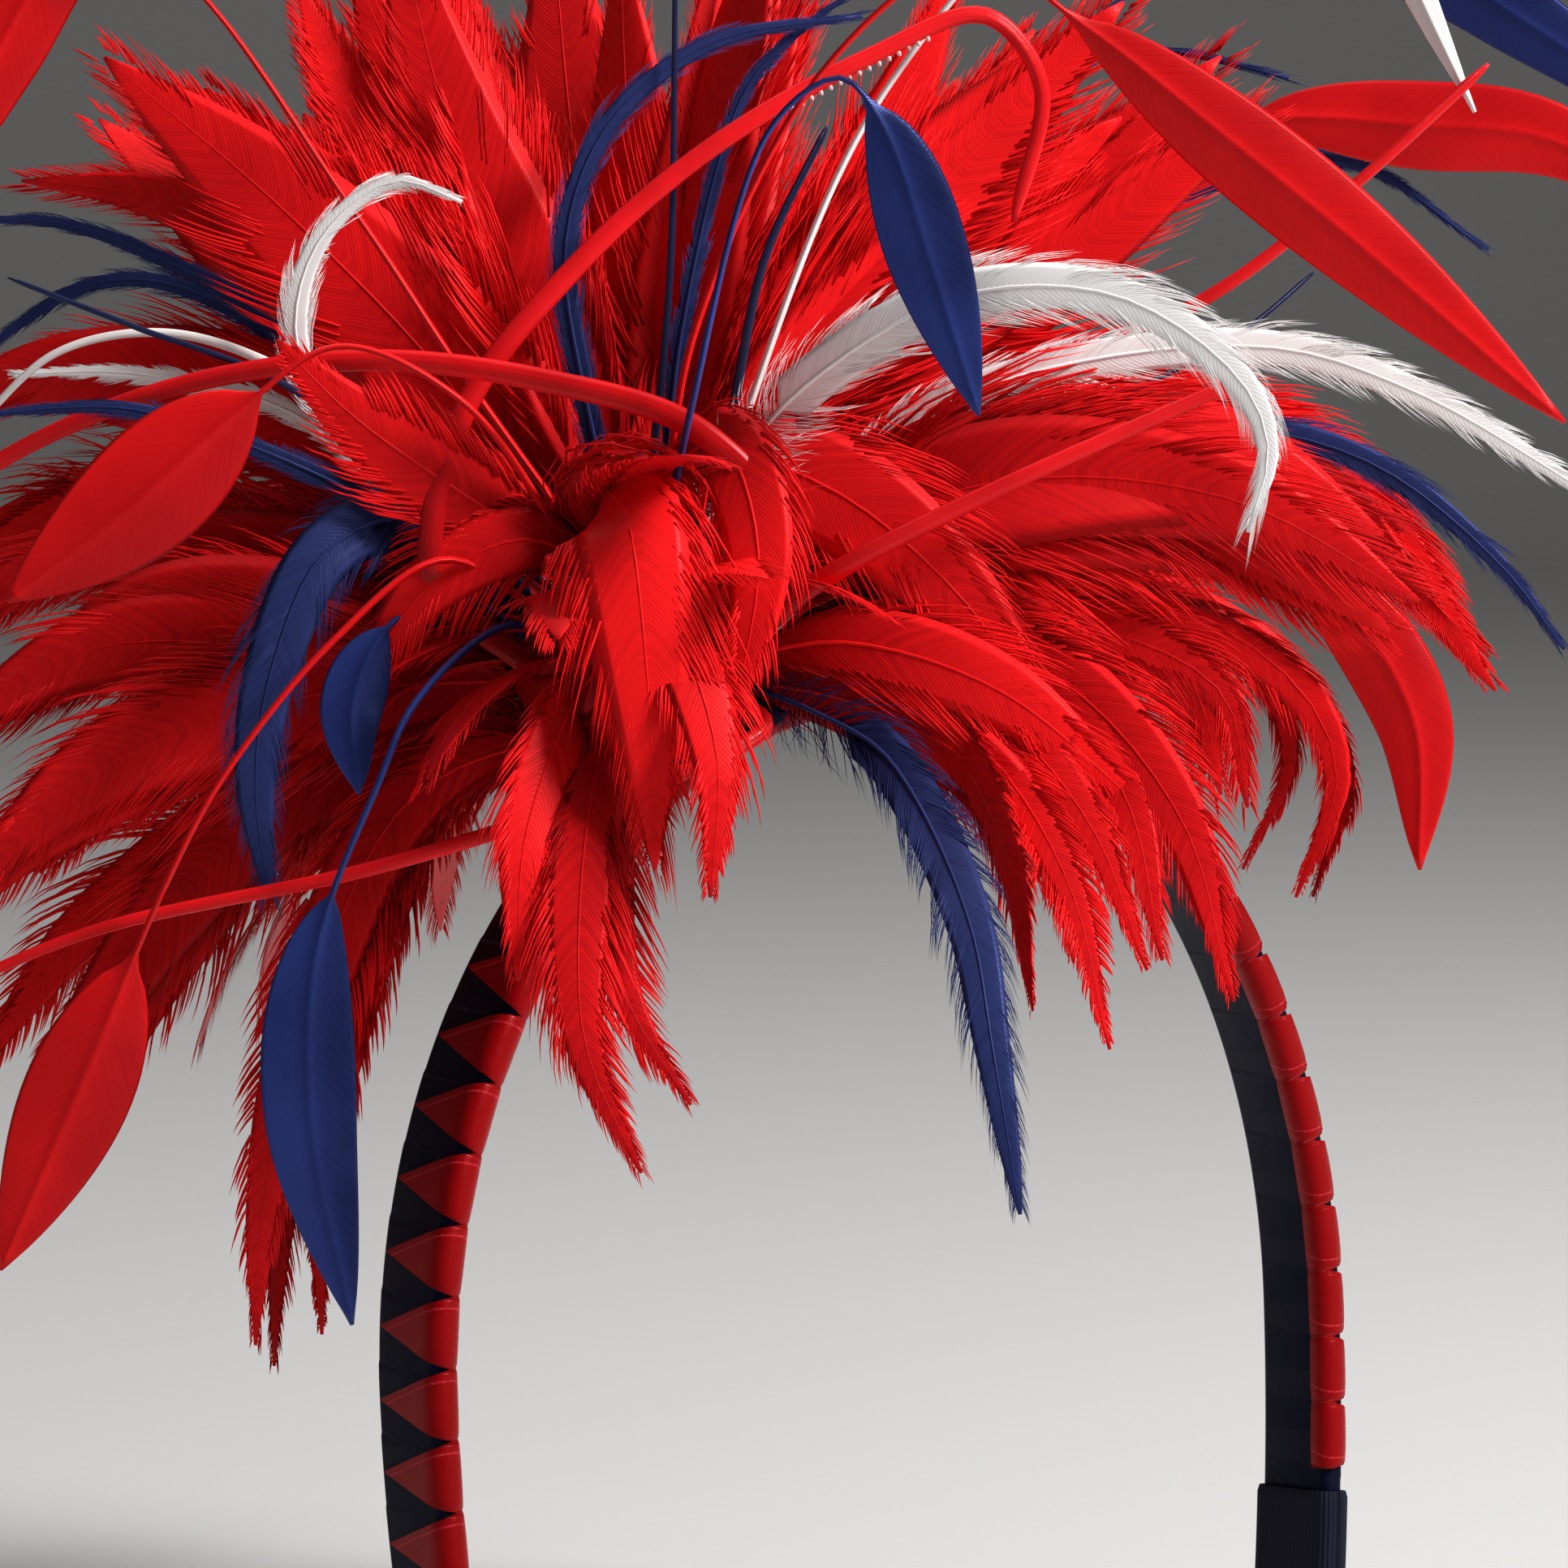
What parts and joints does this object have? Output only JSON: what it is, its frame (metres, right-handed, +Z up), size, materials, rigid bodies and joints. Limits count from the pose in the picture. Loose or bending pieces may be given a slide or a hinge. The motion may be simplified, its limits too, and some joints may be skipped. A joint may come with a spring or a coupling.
{
  "type": "feather fascinator",
  "caption": "Fascinator: a spray of red, navy and white feathers with curled quills on a headband wrapped in navy and red satin ribbon.",
  "frame": {"origin": "middle of the headband's inner face at the crown, where it sits on the head", "axes": "+Z up, out of the crown; the wearer looks along -Y; +X is the wearer's left, the feathers are on the right"},
  "size_m": [0.252, 0.207, 0.2761],
  "materials": {
    "navy_grosgrain": "matte",
    "navy_satin": "satin",
    "red_satin": "satin",
    "navy_pad": "matte",
    "white_feather": "matte",
    "navy_feather": "matte",
    "red_feather": "matte"
  },
  "bodies": {
    "root": {"arc_quill": "red_feather", "blunt_quill": "red_feather", "end_binding_left": "navy_grosgrain", "end_binding_right": "navy_grosgrain", "feather_base": "navy_pad", "headband": "navy_satin", "long_quill": "red_feather", "loop_quill": "red_feather", "low_quill": "red_feather", "navy_blade_left": "navy_feather", "navy_centre_thin": "navy_feather", "navy_far_right": "navy_feather", "navy_far_top": "navy_feather", "navy_head_hackle": "navy_feather", "navy_leaf_centre": "navy_feather", "navy_leaf_far_right": "navy_feather", "navy_leaf_inner": "navy_feather", "navy_leaf_low_right": "navy_feather", "navy_left_arch": "navy_feather", "navy_left_high": "navy_feather", "navy_left_low": "navy_feather", "navy_right_arch": "navy_feather", "navy_split": "navy_feather", "navy_top_curl": "navy_feather", "plume_crown": "red_feather", "plume_low": "red_feather", "plume_middle": "red_feather", "red_blade_left": "red_feather", "red_blade_right": "red_feather", "red_leaf_far_right": "red_feather", "red_leaf_left": "red_feather", "red_leaf_right": "red_feather", "red_leaf_top_left": "red_feather", "red_ribbon": "red_satin", "white_curl_left": "white_feather", "white_hackle_curl": "white_feather", "white_hackle_right": "white_feather", "white_leaf_top": "white_feather", "white_quill_left": "white_feather"}
  },
  "joints": []
}
